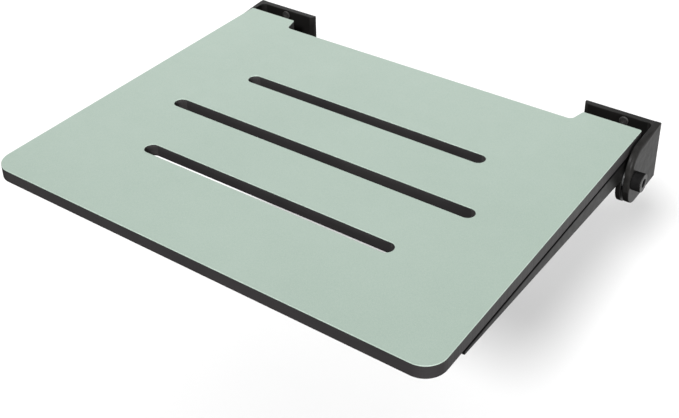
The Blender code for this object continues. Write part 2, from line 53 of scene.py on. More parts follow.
# ---------------------------------------------------------------- sizes from the frame
TOP_LOW, TOP_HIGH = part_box("seat_top_face")
CORE_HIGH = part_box("seat_core")[1]
BACK_LOW, BACK_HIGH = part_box("seat_bottom_face")
BRACKET_LOW, BRACKET_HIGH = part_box("bracket_right")
ARM_LOW, ARM_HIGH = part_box("arm_right")
BOLT_LOW, BOLT_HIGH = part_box("hinge_bolt_right")
SPACER_LOW, SPACER_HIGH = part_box("spacer_washer_right")
NUT_WASHER_LOW, NUT_WASHER_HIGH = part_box("nut_washer_right")
NUT_LOW, NUT_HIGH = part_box("hinge_nut_right")

AXIS = (BOLT_LOW + BOLT_HIGH) / 2.0
AXIS_YZ = (AXIS.y, AXIS.z)

# fits and cutters
CLEARANCE = 0.0003            # round a shank in its hole
HAIR = 0.0001                 # smallest step between two shapes that meet
OVERCUT = 0.001               # how far a cutter passes the face that it opens

# seat board
CORNER_R = 0.0195             # front corners
EAR_CORNER_R = 0.0018         # outer rear corner of an ear
NOTCH_Y = -0.0458             # rear edge between the ears
NOTCH_MOUTH_X = 0.1717        # inner rear corner of an ear
NOTCH_ROOT_X = 0.1676         # where the ear meets the notch edge
NOTCH_FILLET_R = 0.0060
NOTCH_TIP_R = 0.0020
SLOT_WIDTH = 0.0143
SLOTS = (                     # centre y, overall length
    (-0.302, 0.268),
    (-0.227, 0.331),
    (-0.152, 0.268),
)
TOP_ARRIS = 0.00035           # broken upper edge of the decorative sheet
BACK_ARRIS = 0.0007           # broken lower edge of the board
SCREW_END_GAP = 0.0010        # from a seat screw's tip to the end of its hole

# wall brackets
CHEEK_THICKNESS = 0.0060
PLATE_THICKNESS = 0.0064
PLATE_END_R = 0.0045
PLATE_BACK_R = 0.0005         # free end, on the wall face
PLATE_BURY = 0.0020           # how far the plate runs into the cheek before they are joined
CHEEK_TOP_R = 0.0220
CHEEK_BOTTOM_R = 0.0195
CHEEK_ROUND = 0.0056          # deepest rounding of the cheek's outer edge
CHEEK_ROUND_Y = -0.046        # it grows from the wall to full depth here
CHEEK_ROUND_Z = (-0.010, 0.016)   # and fades downward between these heights
CHEEK_FLAT_STEPS = 16         # pieces of the cheek's straight upper edge
COAT_EDGE_R = 0.0006          # rounding of the other edges under the coating
INNER_FILLET_R = 0.0050
WALL_SCREW_HOLE_R = 0.0030
HOLE_FLARE = 0.0006
HOLE_CUTTER = (-0.0200, 0.0005)   # y of the ends of a wall screw hole's cutter

# hinge
SHANK_R = 0.0040
THREAD_PITCH = 0.00125
THREAD_DEPTH = 0.00065
THREAD_CREST = 1.15           # over 1, so that the crest is flat
THREAD_STEEPNESS = 2.6        # rise of a flank, in thread depths per pitch
THREAD_ROWS = 14              # rings of points in each turn of the thread
THREAD_CHAMFER = 0.0008       # at the tip
THREAD_OVERLAP = (0.0008, 0.0012)  # the shank starts, and the thread ends, this far into the nut
HEAD_LENGTH = 0.0093
HEAD_ARRIS = 0.0006
HEAD_UNDER_R = 0.0003         # rim under the head
SOCKET_AF = 0.0078
SOCKET_DEPTH = 0.0055
SOCKET_LEAD = 0.16            # lead-in cone of a hexagon socket, as a share of its corner radius
SOCKET_LEAD_OUT = 0.0004      # the cone's cutter passes the face by this much
DRILL_POINT = (0.22, 0.04, 0.44)  # point depth, tip and rim radius, as shares of the flats
NUT_AF = 0.0130
NUT_FACE = 0.475              # radius of the round face of the nut, as a share of the flats
NUT_SINK = 0.0007             # countersink of its thread
BORE_X = (0.21, 0.26)         # ends of the hinge bore's cutter, past the web and the cheek

# arms
WEB_THICKNESS = 0.0050
FRONT_DEPTH = 0.0052          # depth of the web at its front end
BOTTOM_SLOPE = -0.0560        # the lower edge falls toward the hinge
TIP_R = 0.0012                # lower corner of the front end
BEND_R = 0.0022
TAIL_FRONT_Y = -0.0660
TAIL_NOSE_R = 0.0210
TAIL_CORNER_R = 0.0030
TAIL_REAR_TOP_Z = -0.0080
TAIL_REAR_CHAMFER = 0.0022
TAIL_SHOULDER = (-0.0115, 0.0090)
TAIL_SHOULDER_R = 0.0040
TAIL_TOP_Y = -0.0230
TAIL_CUTTER_Z = (-0.04, 0.01)     # heights that the chamfer's cutter covers
FLANGE_THICKNESS = 0.0040
FLANGE_Y = (-0.3520, -0.0330)
FLANGE_CORNER_R = 0.0060
FLANGE_EDGE_R = 0.0005
FLANGE_BURY = 0.0015          # how far the flange runs into the web before they are joined
FLANGE_CUTTER_Z = (0.01, 0.03)    # ends of a screw hole's cutter
FLANGE_FILLET_R = 0.0022
FILLET_BURY = 0.0006          # the fillet's overlap with the web and the flange, and its end gap

# screws
WALL_SCREW_R = 0.0027
WALL_SCREW_AF = 0.0040
WALL_SOCKET_DEPTH = 0.0013
WALL_HEAD_R = 0.0006          # rim of the low head
WALL_HEAD_UNDER = 0.0003      # the head is this much narrower where it sits on the plate
WALL_TIP = 0.0004             # chamfer at the wall face
SEAT_SCREW_R = 0.0025
SEAT_SCREW_AF = 0.0030
SEAT_SOCKET_DEPTH = 0.0015
SEAT_TIP = (0.0016, 0.45)     # point length, and its end radius as a share of the shank's
BUTTON_RIM = 0.0004           # height of a domed head's upright rim
BUTTON_ARC = 1.30             # radians of arc from the rim to the small flat on top
WALL_SCREWS = ("top", "lower_inner", "lower_outer")
SEAT_SCREWS = ("front", "middle", "rear")


# ---------------------------------------------------------------- outlines
def arc(centre, radius, start, end, steps):
    """Points on an arc, angles in degrees, both ends included."""
    points = []
    for i in range(steps + 1):
        a = math.radians(start + (end - start) * i / steps)
        points.append((centre[0] + radius * math.cos(a), centre[1] + radius * math.sin(a)))
    return points


def circle(centre, radius, segments):
    return arc(centre, radius, 0.0, 360.0 - 360.0 / segments, segments - 1)


def hexagon(centre, across_flats, turn):
    """Hexagon whose first corner is turned by an angle in degrees."""
    return arc(centre, across_flats / math.sqrt(3.0), turn, turn + 300.0, 5)


def rounded(corners, steps):
    """Closed outline from (point, radius) corners; a radius of 0 keeps a corner sharp."""
    count = len(corners)
    outline = []
    for i in range(count):
        here = Vector(corners[i][0])
        radius = corners[i][1]
        back = (Vector(corners[i - 1][0]) - here).normalized()
        ahead = (Vector(corners[(i + 1) % count][0]) - here).normalized()
        if radius <= 0.0:
            outline.append(tuple(here))
            continue
        half = back.angle(ahead) / 2.0
        reach = radius / math.tan(half)
        middle = here + (back + ahead).normalized() * (radius / math.sin(half))
        first = here + back * reach - middle
        last = here + ahead * reach - middle
        sweep = first.angle(last)
        if first.x * last.y - first.y * last.x < 0.0:
            sweep = -sweep
        base = math.atan2(first.y, first.x)
        for k in range(steps + 1):
            a = base + sweep * k / steps
            outline.append((middle.x + radius * math.cos(a), middle.y + radius * math.sin(a)))
    return outline


def area(outline):
    """Area inside an outline, positive when it runs counter-clockwise."""
    total = 0.0
    for i in range(len(outline)):
        x0, y0 = outline[i - 1]
        x1, y1 = outline[i]
        total += x0 * y1 - x1 * y0
    return total / 2.0


def edge_normals(outline):
    """Inward normals of the edges before and after each point, counter-clockwise."""
    count = len(outline)
    pairs = []
    for i in range(count):
        here = Vector(outline[i])
        before = here - Vector(outline[i - 1])
        after = Vector(outline[(i + 1) % count]) - here
        n0 = Vector((-before.y, before.x)).normalized()
        n1 = Vector((-after.y, after.x)).normalized()
        pairs.append((n0, n1))
    return pairs


def inset(outline, distance):
    """Move a counter-clockwise outline inward along its corner normals."""
    moved = []
    for point, (n0, n1) in zip(outline, edge_normals(outline)):
        normal = (n0 + n1).normalized()
        scale = max(0.5, normal.dot(n0))
        moved.append(tuple(Vector(point) + normal * (distance / scale)))
    return moved


def smoothstep(a, b, x):
    """0 at a, 1 at b, with no slope at either end."""
    t = min(1.0, max(0.0, (x - a) / (b - a)))
    return t * t * (3.0 - 2.0 * t)


# ---------------------------------------------------------------- solids
MERGE_DISTANCE = 0.000002
RIM_STEPS = 4                 # facets across the rounded rim of a plate


def along_x(u, v, height):
    return (height, u, v)


def along_y(u, v, height):
    return (u, height, v)


def along_z(u, v, height):
    return (u, v, height)


def rim_levels(edge):
    """(depth below the face, inset) of a rim rounded by edge, from the side to the face."""
    if edge == 0.0:
        return [(0.0, 0.0)]
    levels = []
    for i in range(RIM_STEPS + 1):
        a = math.radians(90.0 * i / RIM_STEPS)
        levels.append((edge * (1.0 - math.sin(a)), edge * (1.0 - math.cos(a))))
    return levels


def edge_levels(low, high, low_edge, high_edge):
    """(height, inset) levels of a plate whose two rims are rounded by those radii."""
    levels = [(low + depth, amount) for depth, amount in reversed(rim_levels(low_edge))]
    levels += [(high - depth, amount) for depth, amount in rim_levels(high_edge)]
    return levels


def skin(bm, rings):
    """Join each ring of points to the next with quads."""
    for ring_a, ring_b in zip(rings[:-1], rings[1:]):
        count = len(ring_a)
        for i in range(count):
            j = (i + 1) % count
            bm.faces.new((ring_a[i], ring_a[j], ring_b[j], ring_b[i]))


def face_out(bm):
    """Turn the faces of a closed solid outward."""
    bmesh.ops.recalc_face_normals(bm, faces=bm.faces)
    return bm


def plate(outer, holes, levels, place):
    """Closed plate with through holes; place maps (u, v, height) to a world point."""
    bm = bmesh.new()
    if area(outer) < 0.0:
        outer = outer[::-1]
    loops = [(outer, 1.0)]
    for hole in holes:
        if area(hole) < 0.0:
            hole = hole[::-1]
        loops.append((hole, -1.0))
    rings = []
    shapes = []
    for height, amount in levels:
        ring = []
        shape = []
        for outline, sign in loops:
            points = inset(outline, amount * sign) if amount else outline
            shape.append([Vector((u, v, 0.0)) for u, v in points])
            ring.append([bm.verts.new(place(u, v, height)) for u, v in points])
        rings.append(ring)
        shapes.append(shape)
    for lower, upper in zip(rings[:-1], rings[1:]):
        for pair in zip(lower, upper):
            skin(bm, pair)
    for index in (0, -1):
        flat = [vert for part in rings[index] for vert in part]
        for tri in geometry.tessellate_polygon(shapes[index]):
            bm.faces.new([flat[k] for k in tri])
    return face_out(bm)


def prism(outline, low, high, place, edge=0.0):
    """Closed prism, both rims rounded by edge."""
    return plate(outline, [], edge_levels(low, high, edge, edge), place)


def turned(axis, centre, along, radius, angle):
    """Point at a distance along an axis through centre, and at a radius and angle about it."""
    c, s = radius * math.cos(angle), radius * math.sin(angle)
    if axis == "X":
        return (along, centre[0] + c, centre[1] + s)
    if axis == "Y":
        return (centre[0] + c, along, centre[1] + s)
    return (centre[0] + c, centre[1] + s, along)


def lathe(profile, centre, axis, segments, closed=False):
    """Turn (distance along the axis, radius) points.

    An open profile is capped at both ends; a closed one makes a ring with a bore.
    """
    bm = bmesh.new()
    rings = []
    for along, radius in profile:
        ring = []
        for i in range(segments):
            angle = 2.0 * math.pi * i / segments
            ring.append(bm.verts.new(turned(axis, centre, along, radius, angle)))
        rings.append(ring)
    if closed:
        skin(bm, rings + rings[:1])
        return face_out(bm)
    skin(bm, rings)
    bm.faces.new(rings[0])
    bm.faces.new(rings[-1])
    return face_out(bm)


def mirror(bm, side_name):
    """Pieces are built on the right; the left copies are mirrored about x = 0."""
    if side_name == "left":
        bmesh.ops.transform(bm, matrix=Matrix.Diagonal((-1.0, 1.0, 1.0, 1.0)), verts=bm.verts)
        bmesh.ops.reverse_faces(bm, faces=bm.faces)
    return bm


def boolean(bm, other, operation):
    """Exact Boolean of two closed bmeshes; both are consumed."""
    made = []
    for label, source in (("base", bm), ("tool", other)):
        mesh = bpy.data.meshes.new(label)
        source.to_mesh(mesh)
        source.free()
        obj = bpy.data.objects.new(label, mesh)
        bpy.context.scene.collection.objects.link(obj)
        made.append(obj)
    base, tool = made
    modifier = base.modifiers.new("cut", "BOOLEAN")
    modifier.operation = operation
    modifier.solver = "EXACT"
    modifier.object = tool
    graph = bpy.context.evaluated_depsgraph_get()
    graph.update()
    result = bmesh.new()
    result.from_mesh(base.evaluated_get(graph).to_mesh())
    base.evaluated_get(graph).to_mesh_clear()
    for obj in made:
        mesh = obj.data
        bpy.data.objects.remove(obj, do_unlink=True)
        bpy.data.meshes.remove(mesh)
    bmesh.ops.remove_doubles(result, verts=result.verts, dist=MERGE_DISTANCE)
    bmesh.ops.dissolve_degenerate(result, edges=result.edges, dist=MERGE_DISTANCE)
    return face_out(result)


def hinge_bore():
    """Cutter for the bolt's hole through the web and the cheek."""
    return prism(circle(AXIS_YZ, SHANK_R + CLEARANCE, 64), BORE_X[0], BORE_X[1], along_x)


def screw_bore(place, low, high):
    """Cutter for a seat screw's hole at place (x, y)."""
    return prism(circle(place, SEAT_SCREW_R + CLEARANCE, 32), low, high, along_z)


# ---------------------------------------------------------------- pieces
ARRIS_WIDTH = 0.0009          # a face narrower than this on a bend is a broken edge
ARRIS_BEND = math.radians(8.0)
SMOOTH_ANGLE = math.radians(40.0)


def mark_edges(bm):
    """Face layer 'arris': 1 on the narrow faces that round an edge over, 0 elsewhere."""
    layer = bm.faces.layers.float.new("arris")
    for face in bm.faces:
        narrow = min(edge.calc_length() for edge in face.edges) < ARRIS_WIDTH
        bent = any(
            len(edge.link_faces) == 2 and edge.calc_face_angle(0.0) > ARRIS_BEND
            for edge in face.edges
        )
        face[layer] = 1.0 if narrow and bent and len(face.verts) == 4 else 0.0


def piece(name, bm, mat, body, node):
    """Make the visible piece that stands for a CAD node."""
    bmesh.ops.remove_doubles(bm, verts=bm.verts, dist=MERGE_DISTANCE)
    mark_edges(face_out(bm))
    mesh = bpy.data.meshes.new(name)
    bm.to_mesh(mesh)
    bm.free()
    mesh.shade_smooth()
    mesh.set_sharp_from_angle(angle=SMOOTH_ANGLE)
    mesh.materials.append(mat)
    obj = bpy.data.objects.new(name, mesh)
    bpy.context.scene.collection.objects.link(obj)
    shading = obj.modifiers.new("flat faces stay flat", "WEIGHTED_NORMAL")
    shading.keep_sharp = True
    shading.weight = 100
    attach(obj, body)
    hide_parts(node)


def side_piece(name, bm, mat, body, node, side_name):
    """Piece of a left and right pair, from a solid built on the right."""
    tag = "_" + side_name
    piece(side_name + "_" + name, mirror(bm, side_name), mat, body, node + tag)


# ---------------------------------------------------------------- materials
class Shader:
    """A Principled material and short ways to wire procedural nodes into it."""

    def __init__(self, name, roughness, metallic=0.0, **sockets):
        self.mat = bpy.data.materials.new(name)
        self.mat.use_nodes = True
        self.nodes = self.mat.node_tree.nodes
        self.links = self.mat.node_tree.links
        self.shader = self.nodes["Principled BSDF"]
        self.shader.inputs["Metallic"].default_value = metallic
        self.shader.inputs["Roughness"].default_value = roughness
        for socket, value in sockets.items():
            self.shader.inputs[socket.replace("_", " ")].default_value = value
        self.place = self.nodes.new("ShaderNodeTexCoord").outputs["Object"]

    def link(self, source, target):
        self.links.new(source, target)

    def stretch(self, scale, shift=(0.0, 0.0, 0.0)):
        """Object coordinates, scaled along each axis and moved."""
        node = self.nodes.new("ShaderNodeMapping")
        node.inputs["Location"].default_value = shift
        node.inputs["Scale"].default_value = scale
        self.link(self.place, node.inputs["Vector"])
        return node.outputs["Vector"]

    def noise(self, scale, detail=3.0, roughness=0.5, place=None):
        """Noise with features about 1 / scale metres across."""
        node = self.nodes.new("ShaderNodeTexNoise")
        node.inputs["Scale"].default_value = scale
        node.inputs["Detail"].default_value = detail
        node.inputs["Roughness"].default_value = roughness
        self.link(place or self.place, node.inputs["Vector"])
        return node.outputs["Fac"]

    def range(self, value, low, high, from_low=0.3, from_high=0.7):
        node = self.nodes.new("ShaderNodeMapRange")
        node.inputs["From Min"].default_value = from_low
        node.inputs["From Max"].default_value = from_high
        node.inputs["To Min"].default_value = low
        node.inputs["To Max"].default_value = high
        self.link(value, node.inputs["Value"])
        return node.outputs["Result"]

    def maths(self, operation, first, second=0.0):
        node = self.nodes.new("ShaderNodeMath")
        node.operation = operation
        for socket, value in zip(node.inputs, (first, second)):
            if isinstance(value, float):
                socket.default_value = value
            else:
                self.link(value, socket)
        return node.outputs["Value"]

    def mix(self, factor, first, second):
        """Blend two colours; each is a socket or linear RGB."""
        node = self.nodes.new("ShaderNodeMix")
        node.data_type = "RGBA"
        self.link(factor, node.inputs["Factor"])
        colour_inputs = [s for s in node.inputs if s.type == "RGBA"]
        for socket, value in zip(colour_inputs, (first, second)):
            if isinstance(value, tuple):
                socket.default_value = (*value, 1.0)
            else:
                self.link(value, socket)
        return [s for s in node.outputs if s.type == "RGBA"][0]

    def xyz(self):
        """Sockets of the object coordinates, one for each axis."""
        node = self.nodes.new("ShaderNodeSeparateXYZ")
        self.link(self.place, node.inputs["Vector"])
        return node.outputs

    def wear_and_highlight(self, base, amount, rubbed_and_highlit):
        """Base colour, turned in patches toward a lighter colour on broken edges: wear from rubbing
        and a painted highlight.
        """
        node = self.nodes.new("ShaderNodeAttribute")
        node.attribute_name = "arris"
        patch = self.range(self.noise(120.0, 4.0), 0.2, 1.0)
        edges = self.maths("MULTIPLY", node.outputs["Fac"], patch)
        return self.mix(self.maths("MULTIPLY", edges, amount), base, rubbed_and_highlit)

    def colour(self, value):
        self.link(value, self.shader.inputs["Base Color"])

    def rough(self, value):
        self.link(value, self.shader.inputs["Roughness"])

    def specular(self, value):
        self.link(value, self.shader.inputs["Specular IOR Level"])

    def bump(self, heights):
        """Chain of (height socket, strength, distance) bumps."""
        normal = None
        for height, strength, distance in heights:
            node = self.nodes.new("ShaderNodeBump")
            node.inputs["Strength"].default_value = strength
            node.inputs["Distance"].default_value = distance
            self.link(height, node.inputs["Height"])
            if normal is not None:
                self.link(normal, node.inputs["Normal"])
            normal = node.outputs["Normal"]
        self.link(normal, self.shader.inputs["Normal"])


def laminate(name):
    """Sage high-pressure laminate: fine suede grain, faint clouding, arrises lighter from wear and a
    painted highlight.
    """
    s = Shader(name, 0.42, Specular_IOR_Level=0.45)
    cloud = s.noise(9.0, 5.0, 0.55)
    speck = s.noise(1400.0, 2.0)
    base = s.mix(s.range(cloud, 0.0, 1.0), (0.255, 0.329, 0.280), (0.271, 0.346, 0.296))
    base = s.mix(s.range(speck, 0.0, 0.22), base, (0.45, 0.53, 0.47))
    # Broken edges turn pale: wear and a painted highlight.
    s.colour(s.wear_and_highlight(base, 0.45, (0.50, 0.58, 0.53)))
    s.rough(s.range(s.noise(60.0, 4.0), 0.38, 0.47))
    s.bump([(s.noise(2600.0, 2.0), 0.25, 0.00002), (s.noise(300.0, 3.0), 0.15, 0.00002)])
    return s.mat


def black_laminate(name, warm=1.0):
    """Black core: thin stacked paper layers and the marks of the router.

    warm scales the red of its paler patches.
    """
    s = Shader(name, 0.50, Specular_IOR_Level=0.16)
    layers = s.noise(1.0, 3.0, 0.6, place=s.stretch((35.0, 35.0, 5200.0)))
    marks = s.noise(1.0, 3.0, 0.5, place=s.stretch((900.0, 900.0, 25.0)))
    base = s.mix(s.range(layers, 0.0, 1.0), (0.019, 0.0181, 0.0190), (0.031, 0.0289, 0.0295))
    base = s.mix(s.range(s.noise(25.0, 4.0), 0.0, 0.35), base, (0.042 * warm, 0.039, 0.039))
    # Broken edges turn lighter: wear and a painted highlight.
    s.colour(s.wear_and_highlight(base, 0.5, (0.075, 0.070, 0.070)))
    s.rough(s.range(marks, 0.44, 0.58))
    s.bump([(layers, 0.35, 0.00003), (marks, 0.25, 0.00002)])
    return s.mat


COAT_SPECULAR = 0.09
# Painted shade along the top of an arm's web: its specular level and the height over which it fades
# in.
SHADE_SPECULAR = 0.01
SHADE_FADE = 0.0008


def powder_coat(name, seed, shade_height=None):
    """Satin black powder coat: orange peel, fine grit, edges lighter from wear and a painted
    highlight.

    The optional height marks a painted shade: over a short fade below it, and all the way above it,
    the coat is painted dull and black for the shade that the board's edge throws into the bend of the
    web.
    """
    s = Shader(name, 0.42, Specular_IOR_Level=COAT_SPECULAR)
    shifted = s.stretch((1.0, 1.0, 1.0), shift=(seed, seed * 0.7, 0.0))
    peel = s.noise(850.0, 2.0, place=shifted)
    grit = s.noise(3600.0, 2.0, place=shifted)
    cloud = s.noise(22.0, 4.0, place=shifted)
    base = s.mix(s.range(cloud, 0.0, 1.0), (0.0042, 0.0040, 0.0038), (0.0068, 0.0065, 0.0062))
    base = s.mix(s.range(grit, 0.0, 0.30), base, (0.018, 0.0172, 0.0165))
    # Broken edges turn lighter: wear and a painted highlight.
    base = s.wear_and_highlight(base, 0.4, (0.034, 0.033, 0.032))
    # Painted shade: dull black coat at the top of the web, where the board's edge shades the bend.
    if shade_height is not None:
        height = s.xyz()["Z"]
        start = shade_height - SHADE_FADE
        base = s.mix(s.range(height, 0.0, 1.0, start, shade_height), base, (0.003, 0.003, 0.003))
        s.specular(s.range(height, COAT_SPECULAR, SHADE_SPECULAR, start, shade_height))
    s.colour(base)
    s.rough(s.range(s.noise(140.0, 4.0, place=shifted), 0.35, 0.43))
    s.bump([(peel, 0.35, 0.00003), (grit, 0.30, 0.00001)])
    return s.mat


def about_axis(s, centre):
    """Radius and angle about the line along X through centre (y, z), and distance from x = 0."""
    place = s.xyz()
    dy = s.maths("SUBTRACT", place["Y"], centre[0])
    dz = s.maths("SUBTRACT", place["Z"], centre[1])
    squares = s.maths("ADD", s.maths("MULTIPLY", dy, dy), s.maths("MULTIPLY", dz, dz))
    return s.maths("SQRT", squares), s.maths("ARCTAN2", dz, dy), s.maths("ABSOLUTE", place["X"])


KNURL_RIBS = 56.0
TURNING_MARKS = 18000.0       # radians of wave per metre of radius
END_FINISH = (0.0008, 0.0002)     # the side's finish turns into the end's between these depths
SIDE_SPECULAR, SIDE_ROUGHNESS = 0.12, 0.78
END_SPECULAR, END_ROUGHNESS = 0.42, 0.42


def black_steel(name, centre, end):
    """Blackened bolt: matt knurled side, smooth turned end face."""
    s = Shader(name, 0.60, Specular_IOR_Level=SIDE_SPECULAR)
    radius, angle, along = about_axis(s, centre)
    first, last = end - END_FINISH[0], end - END_FINISH[1]
    faced = s.range(along, 0.0, 1.0, first, last)
    mottle = s.noise(260.0, 4.0)
    base = s.mix(s.range(mottle, 0.0, 1.0), (0.0035, 0.0034, 0.0035), (0.0065, 0.0062, 0.0064))
    s.colour(s.mix(s.maths("MULTIPLY", faced, 0.6), base, (0.020, 0.0195, 0.019)))
    s.specular(s.range(along, SIDE_SPECULAR, END_SPECULAR, first, last))
    s.rough(s.range(along, SIDE_ROUGHNESS, END_ROUGHNESS, first, last))
    rings = s.maths("SINE", s.maths("MULTIPLY", radius, TURNING_MARKS))
    rings = s.maths("MULTIPLY", rings, faced)
    ribs = s.maths("SINE", s.maths("MULTIPLY", angle, KNURL_RIBS))
    ribs = s.maths("MULTIPLY", ribs, s.maths("SUBTRACT", 1.0, faced))
    s.bump([(rings, 0.20, 0.000006), (ribs, 0.50, 0.00008), (s.noise(1800.0, 2.0), 0.20, 0.00001)])
    return s.mat


NUT_COLOUR = (0.55, 0.55, 0.54)
STAINLESS_COLOUR = (0.58, 0.58, 0.57)
STREAK_ACROSS_X = (3000.0, 300.0, 300.0)
STREAK_ACROSS_Z = (300.0, 300.0, 3000.0)


def bright_steel(name, colour, roughness, streak):
    """Plated or stainless steel with fine streaks; streak is the noise scale on each axis."""
    s = Shader(name, roughness, 1.0)
    lines = s.noise(1.0, 4.0, 0.6, place=s.stretch(streak))
    stain = s.noise(180.0, 4.0)
    dark = tuple(c * 0.80 for c in colour)
    light = tuple(min(1.0, c * 1.12) for c in colour)
    base = s.mix(s.range(lines, 0.0, 1.0), dark, light)
    s.colour(s.mix(s.range(stain, 0.0, 0.4), base, (colour[0], colour[1] * 0.97, colour[2] * 0.88)))
    s.rough(s.range(lines, roughness - 0.07, roughness + 0.10))
    s.bump([(lines, 0.20, 0.00001)])
    return s.mat


def dark_screw(name):
    """Dark plated wall screw, lighter on its rims from wear and a painted highlight."""
    s = Shader(name, 0.45, 0.25, Specular_IOR_Level=0.40)
    base = s.mix(s.range(s.noise(400.0, 4.0), 0.0, 1.0), (0.022, 0.0215, 0.021), (0.034, 0.033, 0.032))
    s.colour(s.wear_and_highlight(base, 0.5, (0.11, 0.107, 0.104)))
    s.rough(s.range(s.noise(900.0, 3.0), 0.38, 0.52))
    s.bump([(s.noise(2000.0, 2.0), 0.25, 0.00001)])
    return s.mat


def nylon(name):
    """Dark moulded nylon of the spacer."""
    s = Shader(name, 0.38, Specular_IOR_Level=0.55)
    base = s.mix(s.range(s.noise(300.0, 3.0), 0.0, 1.0), (0.050, 0.050, 0.051), (0.072, 0.072, 0.074))
    # Broken edges turn lighter: wear and a painted highlight.
    s.colour(s.wear_and_highlight(base, 0.5, (0.09, 0.09, 0.09)))
    s.rough(s.range(s.noise(500.0, 3.0), 0.32, 0.44))
    s.bump([(s.noise(1500.0, 2.0), 0.25, 0.00001)])
    return s.mat


# ---------------------------------------------------------------- seat board
def board_outline():
    """(x, y) of the board: rounded front corners, two ears and the notch between them."""
    w = TOP_HIGH.x
    front = TOP_LOW.y
    rear = TOP_HIGH.y
    corners = [
        ((-w, front), CORNER_R),
        ((w, front), CORNER_R),
        ((w, rear), EAR_CORNER_R),
        ((NOTCH_MOUTH_X, rear), NOTCH_TIP_R),
        ((NOTCH_ROOT_X, NOTCH_Y), NOTCH_FILLET_R),
        ((-NOTCH_ROOT_X, NOTCH_Y), NOTCH_FILLET_R),
        ((-NOTCH_MOUTH_X, rear), NOTCH_TIP_R),
        ((-w, rear), EAR_CORNER_R),
    ]
    return rounded(corners, 20)


def slot_outline(centre_y, length):
    """(x, y) of a round-ended slot."""
    r = SLOT_WIDTH / 2.0
    reach = length / 2.0 - r
    right = arc((reach, centre_y), r, -90.0, 90.0, 28)
    left = arc((-reach, centre_y), r, 90.0, 270.0, 28)
    return right + left


def seat_screw_places():
    """(x, y) of every seat screw, from the frame."""
    places = []
    for side_name, _ in SIDES:
        for label in SEAT_SCREWS:
            low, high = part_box("seat_screw_" + side_name + "_" + label)
            places.append(((low.x + high.x) / 2.0, (low.y + high.y) / 2.0))
    return places


def drill_from_below(bm):
    """Blind screw holes in the underside of the core."""
    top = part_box("seat_screw_right_front")[1].z + SCREW_END_GAP
    for place in seat_screw_places():
        bm = boolean(bm, screw_bore(place, BACK_HIGH.z - OVERCUT, top), "DIFFERENCE")
    return bm


def build_board():
    """Three layers pressed into one board: their faces meet without a gap."""
    outer = board_outline()
    slots = [slot_outline(y, length) for y, length in SLOTS]
    bores = [circle(place, SEAT_SCREW_R + CLEARANCE, 32) for place in seat_screw_places()]

    levels = edge_levels(CORE_HIGH.z, TOP_HIGH.z, 0.0, TOP_ARRIS)
    bm = plate(outer, slots, levels, along_z)
    piece("board_top_sheet", bm, laminate("sage_laminate"), "seat", "seat_top_face")

    levels = edge_levels(BACK_HIGH.z, CORE_HIGH.z, 0.0, 0.0)
    bm = drill_from_below(plate(outer, slots, levels, along_z))
    piece("board_core", bm, black_laminate("black_core"), "seat", "seat_core")

    levels = edge_levels(BACK_LOW.z, BACK_HIGH.z, BACK_ARRIS, 0.0)
    bm = plate(outer, slots + bores, levels, along_z)
    mat = black_laminate("black_backing", 0.95)
    piece("board_backing_sheet", bm, mat, "seat", "seat_bottom_face")


# ---------------------------------------------------------------- wall brackets
def cheek_outline():
    """(y, z) round the cheek, counter-clockwise from the top of the wall face."""
    low, high = BRACKET_LOW.z, BRACKET_HIGH.z
    front = BRACKET_LOW.y
    top_centre = (front + CHEEK_TOP_R, high - CHEEK_TOP_R)
    low_centre = (front + CHEEK_BOTTOM_R, low + CHEEK_BOTTOM_R)
    points = [(0.0, high)]
    for i in range(1, CHEEK_FLAT_STEPS):
        points.append((top_centre[0] * i / CHEEK_FLAT_STEPS, high))
    points += arc(top_centre, CHEEK_TOP_R, 90.0, 180.0, 36)
    points += arc(low_centre, CHEEK_BOTTOM_R, 180.0, 270.0, 32)
    points.append((0.0, low))
    return points


def cheek_rounding(y, z):
    """Deep at the upper nose, fading to a broken edge at the wall and below."""
    grow = smoothstep(0.0, CHEEK_ROUND_Y, y)
    fade = smoothstep(CHEEK_ROUND_Z[0], CHEEK_ROUND_Z[1], z)
    return COAT_EDGE_R + (CHEEK_ROUND - COAT_EDGE_R) * grow * fade


def cheek_normals(points):
    """Inward normals; the two ends on the wall face keep their own straight edge."""
    pairs = edge_normals(points)
    normals = [(n0 + n1).normalized() for n0, n1 in pairs]
    normals[0] = pairs[0][1]
    normals[-1] = pairs[-1][0]
    return normals


INNER_STEPS = 4               # facets across the broken inner edge of the cheek
OUTER_STEPS = 10              # facets across its rounded outer edge


def build_cheek():
    """Cheek whose outer edge is rounded by a changing radius, inner edge just broken."""
    points = cheek_outline()
    normals = cheek_normals(points)
    outer_x = BRACKET_HIGH.x
    inner_x = outer_x - CHEEK_THICKNESS
    deepest = CHEEK_THICKNESS - COAT_EDGE_R - 0.5 * HAIR
    bm = bmesh.new()
    rings = []
    for k in range(INNER_STEPS + 1):
        a = math.radians(90.0 * k / INNER_STEPS)
        depth = COAT_EDGE_R * (1.0 - math.sin(a))
        x = inner_x + COAT_EDGE_R * (1.0 - math.cos(a))
        ring = []
        for (y, z), n in zip(points, normals):
            ring.append(bm.verts.new((x, y + n.x * depth, z + n.y * depth)))
        rings.append(ring)
    for k in range(OUTER_STEPS + 1):
        a = math.radians(90.0 * k / OUTER_STEPS)
        ring = []
        for (y, z), n in zip(points, normals):
            r = min(cheek_rounding(y, z), deepest)
            depth = r * (1.0 - math.cos(a))
            x = outer_x - r * (1.0 - math.sin(a))
            ring.append(bm.verts.new((x, y + n.x * depth, z + n.y * depth)))
        rings.append(ring)
    skin(bm, rings)
    for ring in (rings[0], rings[-1]):
        polygon = [Vector((vert.co.y, vert.co.z, 0.0)) for vert in ring]
        for tri in geometry.tessellate_polygon([polygon]):
            bm.faces.new([ring[k] for k in tri])
    return face_out(bm)


